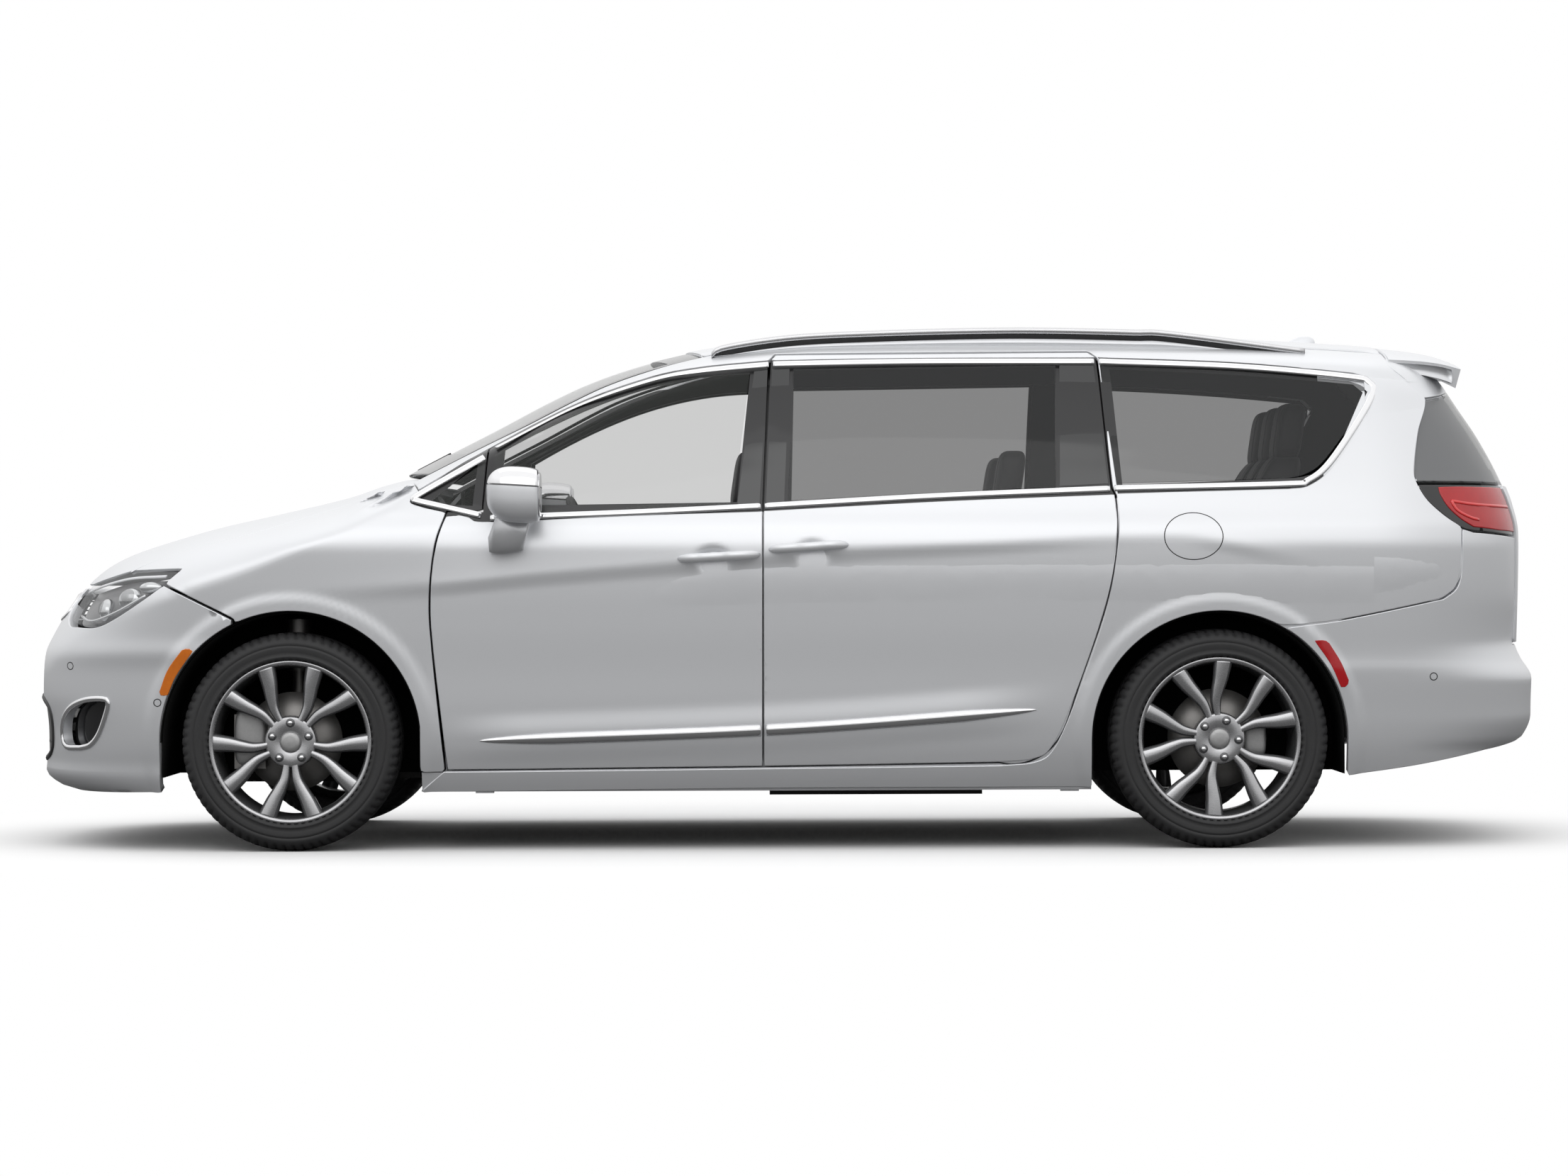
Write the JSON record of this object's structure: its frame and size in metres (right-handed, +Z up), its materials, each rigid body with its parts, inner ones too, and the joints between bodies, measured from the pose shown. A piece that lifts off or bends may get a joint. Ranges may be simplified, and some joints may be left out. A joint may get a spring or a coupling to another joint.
{
  "type": "minivan",
  "caption": "Family minivan with front doors, sliding rear side doors, a lifting tailgate, roof rails and alloy wheels.",
  "frame": {"origin": "on the ground below the middle of the body's length and width", "axes": "-X towards the front of the vehicle, -Y towards its left side, +Z up"},
  "size_m": [5.1729, 2.301, 1.7609],
  "materials": {
    "paint": "metallic gloss",
    "glass_clear": "gloss",
    "glass_dark": "gloss",
    "lamp_clear": "gloss",
    "lamp_red": "gloss",
    "black_plastic": "matt",
    "dark_trim": "matt",
    "lining": "matt",
    "seat_cloth": "matt",
    "rail_metal": "satin",
    "rim_alloy": "machined",
    "tyre": "matt",
    "chassis": "matt",
    "floor_steel": "matt",
    "steel": "satin"
  },
  "bodies": {
    "body": {"body_side_left": "paint", "body_side_right": "paint", "sliding_door_left": "paint", "sliding_door_right": "paint", "fender_left": "paint", "fender_right": "paint", "roof_panel": "paint", "front_bumper": "paint", "rear_bumper": "paint", "windscreen": "glass_clear", "sliding_door_glass": "glass_dark", "fixed_side_glass": "glass_dark", "headlamps": "lamp_clear", "tail_lamps": "lamp_red", "grille": "black_plastic", "headliner": "lining", "floor_pan": "floor_steel", "engine": "chassis", "front_subframe": "chassis", "rear_axle": "chassis", "wheel_liners": "black_plastic", "dashboard": "dark_trim", "steering_wheel": "dark_trim", "front_seats": "seat_cloth", "second_row_seats": "seat_cloth", "third_row_bench": "seat_cloth", "fuel_tank": "black_plastic", "exhaust": "steel", "roof_rails": "rail_metal"},
    "left_door": {"front_door_left": "paint", "front_door_glass_left": "glass_clear", "mirror_left": "paint"},
    "right_door": {"front_door_right": "paint", "front_door_glass_right": "glass_clear", "mirror_right": "paint"},
    "hood_lid": {"hood": "paint"},
    "liftgate": {"tailgate": "paint", "tailgate_glass": "glass_dark"},
    "left_steer": {"knuckle_left": "chassis"},
    "right_steer": {"knuckle_right": "chassis"},
    "wheel_front_left": {"tyre_front_left": "tyre", "rim_front_left": "rim_alloy"},
    "wheel_front_right": {"tyre_front_right": "tyre", "rim_front_right": "rim_alloy"},
    "wheel_rear_left": {"tyre_rear_left": "tyre", "rim_rear_left": "rim_alloy"},
    "wheel_rear_right": {"tyre_rear_right": "tyre", "rim_rear_right": "rim_alloy"}
  },
  "joints": [
    {"name": "left_door_hinge", "type": "hinge", "parent": "body", "child": "left_door", "pos_m": [-1.13795, -0.978, 0.9], "axis": [0, 0, -1], "range_deg": [0, 68]},
    {"name": "right_door_hinge", "type": "hinge", "parent": "body", "child": "right_door", "pos_m": [-1.13795, 0.978, 0.9], "axis": [0, 0, 1], "range_deg": [0, 68]},
    {"name": "hood_hinge", "type": "hinge", "parent": "body", "child": "hood_lid", "pos_m": [-1.18491, 0, 1.225], "axis": [0, 1, 0], "range_deg": [0, 50]},
    {"name": "liftgate_hinge", "type": "hinge", "parent": "body", "child": "liftgate", "pos_m": [2.09435, 0, 1.68008], "axis": [0, -1, 0], "range_deg": [0, 80]},
    {"name": "left_steering", "type": "hinge", "parent": "body", "child": "left_steer", "pos_m": [-1.643, -0.77, 0.364], "axis": [0, 0, 1], "range_deg": [-35, 35]},
    {"name": "right_steering", "type": "hinge", "parent": "body", "child": "right_steer", "pos_m": [-1.643, 0.77, 0.364], "axis": [0, 0, 1], "range_deg": [-35, 35]},
    {"name": "front_left_wheel_spin", "type": "hinge", "parent": "left_steer", "child": "wheel_front_left", "pos_m": [-1.643, -0.855, 0.364], "axis": [0, 1, 0], "continuous": true},
    {"name": "front_right_wheel_spin", "type": "hinge", "parent": "right_steer", "child": "wheel_front_right", "pos_m": [-1.643, 0.855, 0.364], "axis": [0, 1, 0], "continuous": true},
    {"name": "rear_left_wheel_spin", "type": "hinge", "parent": "body", "child": "wheel_rear_left", "pos_m": [1.446, -0.855, 0.364], "axis": [0, 1, 0], "continuous": true},
    {"name": "rear_right_wheel_spin", "type": "hinge", "parent": "body", "child": "wheel_rear_right", "pos_m": [1.446, 0.855, 0.364], "axis": [0, 1, 0], "continuous": true}
  ],
  "couplings": [
    {"joint": "right_steering", "follows": "left_steering", "ratio": 1}
  ]
}
